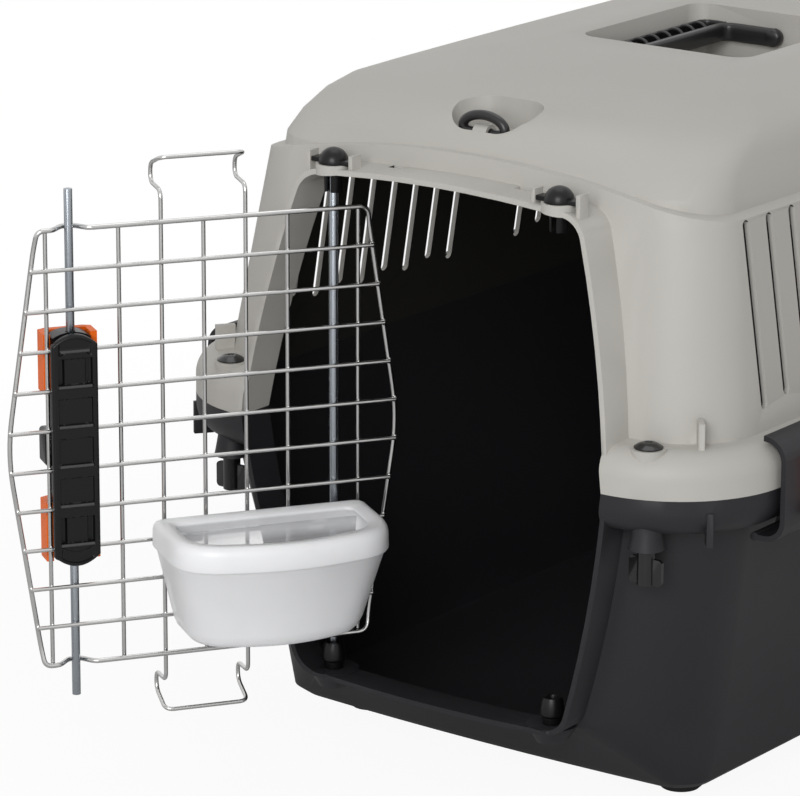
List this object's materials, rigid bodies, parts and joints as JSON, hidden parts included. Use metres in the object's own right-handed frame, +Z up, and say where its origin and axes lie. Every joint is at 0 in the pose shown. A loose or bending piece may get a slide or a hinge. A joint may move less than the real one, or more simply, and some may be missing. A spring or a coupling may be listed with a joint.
{
  "type": "pet travel carrier",
  "caption": "Two-part plastic pet carrier with a swinging wire door, squeeze latch, hanging bowl, folding handle and side clamps.",
  "frame": {"origin": "centre of the flat panel under the bottom shell", "axes": "-Y is the front with the door, +X is the right-hand side seen from the front, +Z is up"},
  "size_m": [0.4098, 0.7341, 0.3905],
  "materials": {
    "light_shell": "warm light grey, fine matt grain",
    "dark_shell": "dark grey, fine matt grain",
    "black_plastic": "black, satin",
    "orange_plastic": "orange, satin",
    "clear_plastic": "milky, translucent",
    "bright_wire": "bright plated wire",
    "zinc_steel": "zinc plated",
    "black_rubber": "matt"
  },
  "bodies": {
    "shells": {"bottom_shell": "dark_shell", "top_shell": "light_shell", "hinge_rod_cap": "black_plastic", "latch_rod_cap": "black_plastic", "hinge_rod_bush": "black_plastic", "latch_rod_bush": "black_plastic", "shell_screws": "black_plastic", "wing_nuts": "black_plastic", "foot_front_left": "black_rubber", "foot_front_right": "black_rubber", "foot_rear_left": "black_rubber", "foot_rear_right": "black_rubber"},
    "door": {"door_outline_wire": "bright_wire", "door_cross_wires": "bright_wire", "door_upright_wires": "bright_wire", "door_catch_loop": "bright_wire", "door_hinge_rod": "zinc_steel", "latch_back_plate": "black_plastic", "latch_front_cover": "black_plastic", "upper_latch_spring": "zinc_steel", "lower_latch_spring": "zinc_steel"},
    "upper_latch": {"upper_latch_button": "orange_plastic", "upper_latch_rod": "zinc_steel"},
    "lower_latch": {"lower_latch_button": "orange_plastic", "lower_latch_rod": "zinc_steel"},
    "bowl": {"water_bowl": "clear_plastic"},
    "handle": {"carry_handle": "black_plastic"},
    "ring_front": {"strap_ring_front": "black_plastic"},
    "ring_rear": {"strap_ring_rear": "black_plastic"},
    "clamp_right": {"side_clamp_right": "dark_shell"},
    "clamp_left": {"side_clamp_left": "dark_shell"},
    "catch_right_front": {"clamp_catch_right_front": "orange_plastic"},
    "catch_right_rear": {"clamp_catch_right_rear": "orange_plastic"},
    "catch_left_front": {"clamp_catch_left_front": "orange_plastic"},
    "catch_left_rear": {"clamp_catch_left_rear": "orange_plastic"}
  },
  "joints": [
    {"name": "door_hinge", "type": "hinge", "parent": "shells", "child": "door", "pos_m": [-0.0762, -0.2745, 0.19], "axis": [0, 0, 1], "range_deg": [-22, 123.8]},
    {"name": "upper_latch_slide", "type": "slide", "parent": "door", "child": "upper_latch", "axis": [0, 0, -1], "range_m": [0, 0.015], "stiffness_N_per_m": 300, "springref_m": -0.005, "deforming": ["upper_latch_spring"]},
    {"name": "lower_latch_slide", "type": "slide", "parent": "door", "child": "lower_latch", "axis": [0, 0, 1], "range_m": [0, 0.015], "stiffness_N_per_m": 300, "springref_m": -0.005, "deforming": ["lower_latch_spring"]},
    {"name": "bowl_lift", "type": "slide", "parent": "door", "child": "bowl", "axis": [0, 0, 1], "range_m": [0, 0.014]},
    {"name": "handle_fold", "type": "hinge", "parent": "shells", "child": "handle", "pos_m": [0, 0, 0.364], "axis": [0, 1, 0], "range_deg": [0, 180]},
    {"name": "ring_front_tilt", "type": "hinge", "parent": "shells", "child": "ring_front", "pos_m": [0, -0.238, 0.358], "axis": [-1, 0, 0], "range_deg": [-15, 75]},
    {"name": "ring_rear_tilt", "type": "hinge", "parent": "shells", "child": "ring_rear", "pos_m": [0, 0.238, 0.358], "axis": [1, 0, 0], "range_deg": [-15, 75]},
    {"name": "clamp_right_hinge", "type": "hinge", "parent": "shells", "child": "clamp_right", "pos_m": [0.18, 0, 0.16], "axis": [0, 1, 0], "range_deg": [0, 100]},
    {"name": "catch_right_front_hinge", "type": "hinge", "parent": "clamp_right", "child": "catch_right_front", "pos_m": [0.2012, -0.184, 0.1748], "axis": [0, 1, 0], "range_deg": [0, 30]},
    {"name": "catch_right_rear_hinge", "type": "hinge", "parent": "clamp_right", "child": "catch_right_rear", "pos_m": [0.2012, 0.184, 0.1748], "axis": [0, 1, 0], "range_deg": [0, 30]},
    {"name": "clamp_left_hinge", "type": "hinge", "parent": "shells", "child": "clamp_left", "pos_m": [-0.18, 0, 0.16], "axis": [0, -1, 0], "range_deg": [0, 100]},
    {"name": "catch_left_front_hinge", "type": "hinge", "parent": "clamp_left", "child": "catch_left_front", "pos_m": [-0.2012, -0.184, 0.1748], "axis": [0, -1, 0], "range_deg": [0, 30]},
    {"name": "catch_left_rear_hinge", "type": "hinge", "parent": "clamp_left", "child": "catch_left_rear", "pos_m": [-0.2012, 0.184, 0.1748], "axis": [0, -1, 0], "range_deg": [0, 30]}
  ]
}
